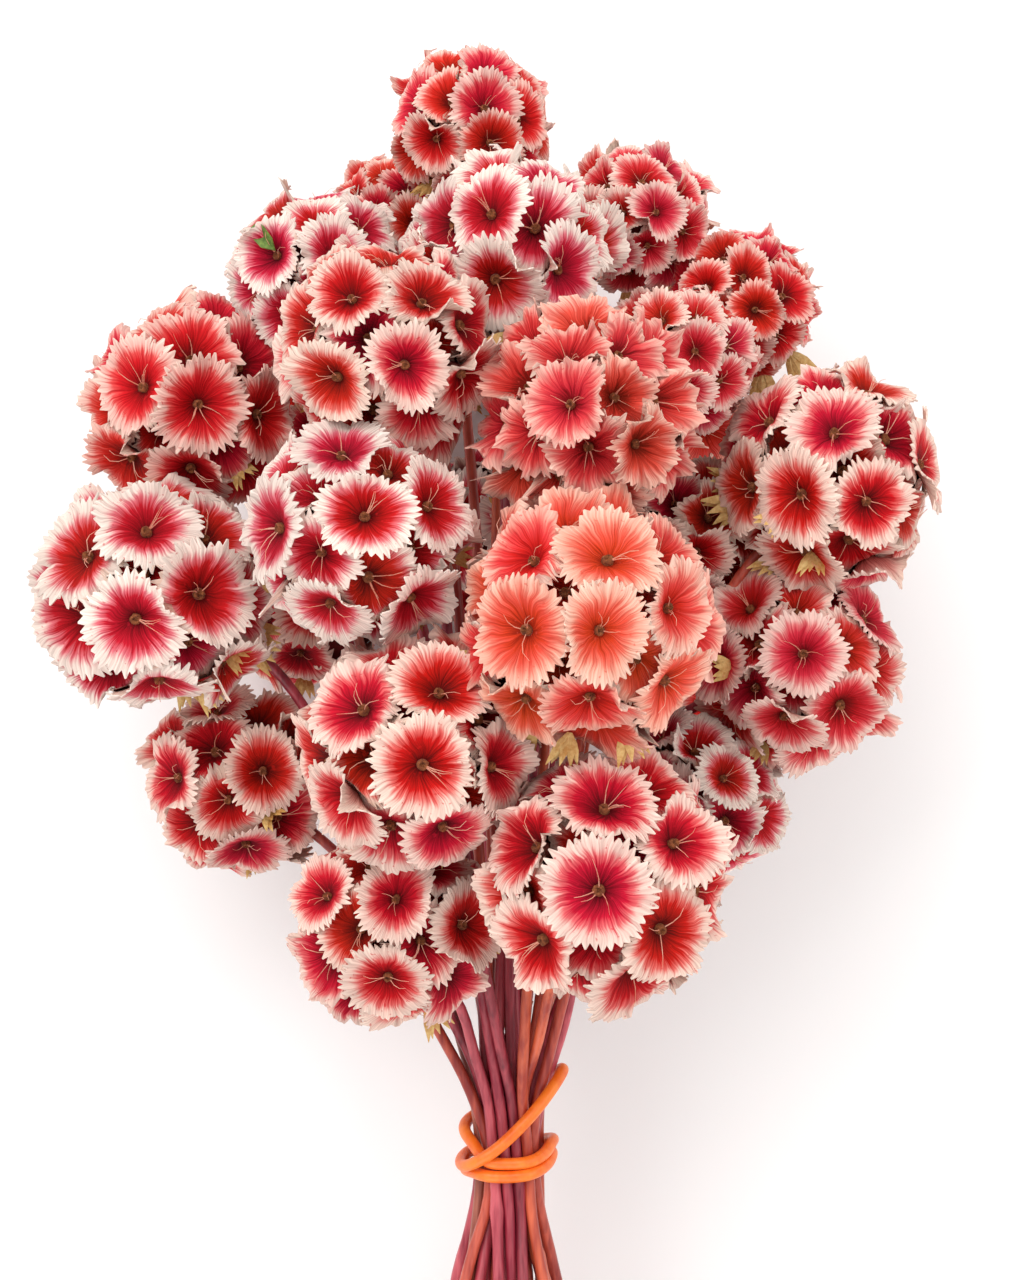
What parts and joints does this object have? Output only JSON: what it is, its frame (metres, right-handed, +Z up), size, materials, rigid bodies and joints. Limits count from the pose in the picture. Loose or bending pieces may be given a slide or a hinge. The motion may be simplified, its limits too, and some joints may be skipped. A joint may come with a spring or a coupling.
{
  "type": "bunch of dried scabiosa pods",
  "caption": "Dried globe-shaped flower heads of layered papery cups on long rosy stems, tied into a bunch by a wound rubber band and lying on its side.",
  "frame": {"origin": "on the surface that the bunch lies on, under the middle of its bounding box", "axes": "+Y runs along the stems from the cut ends to the pods, +X is across the bunch, +Z is up"},
  "size_m": [0.1736, 0.3858, 0.1346],
  "materials": {
    "pod": "dry papery petals, crimson to coral with pale rims",
    "stem": "dry rosy stems, satin",
    "rubber_band": "satin orange rubber"
  },
  "bodies": {
    "root": {"pod_crown": "pod", "stem_crown": "stem", "pod_crown_left": "pod", "stem_crown_left": "stem", "pod_crown_front": "pod", "stem_crown_front": "stem", "pod_crown_right": "pod", "stem_crown_right": "stem", "pod_shoulder_right": "pod", "stem_shoulder_right": "stem", "pod_shoulder_left": "pod", "stem_shoulder_left": "stem", "pod_upper_left": "pod", "stem_upper_left": "stem", "pod_upper_right": "pod", "stem_upper_right": "stem", "pod_upper_middle": "pod", "stem_upper_middle": "stem", "pod_side_left": "pod", "stem_side_left": "stem", "pod_middle_left": "pod", "stem_middle_left": "stem", "pod_side_right": "pod", "stem_side_right": "stem", "pod_far_left": "pod", "stem_far_left": "stem", "pod_middle_right": "pod", "stem_middle_right": "stem", "pod_far_right": "pod", "stem_far_right": "stem", "pod_low_left": "pod", "stem_low_left": "stem", "pod_lower_middle": "pod", "stem_lower_middle": "stem", "pod_collar_left": "pod", "stem_collar_left": "stem", "pod_collar_right": "pod", "stem_collar_right": "stem", "pod_low_right": "pod", "stem_low_right": "stem", "pod_inner_right": "pod", "stem_inner_right": "stem", "pod_under_left": "pod", "stem_under_left": "stem", "pod_under_middle": "pod", "stem_under_middle": "stem", "pod_under_right": "pod", "stem_under_right": "stem", "pod_under_low": "pod", "stem_under_low": "stem", "pod_under_back_left": "pod", "stem_under_back_left": "stem", "pod_under_back_right": "pod", "stem_under_back_right": "stem", "pod_under_crown": "pod", "stem_under_crown": "stem", "rubber_band": "rubber_band"}
  },
  "joints": []
}
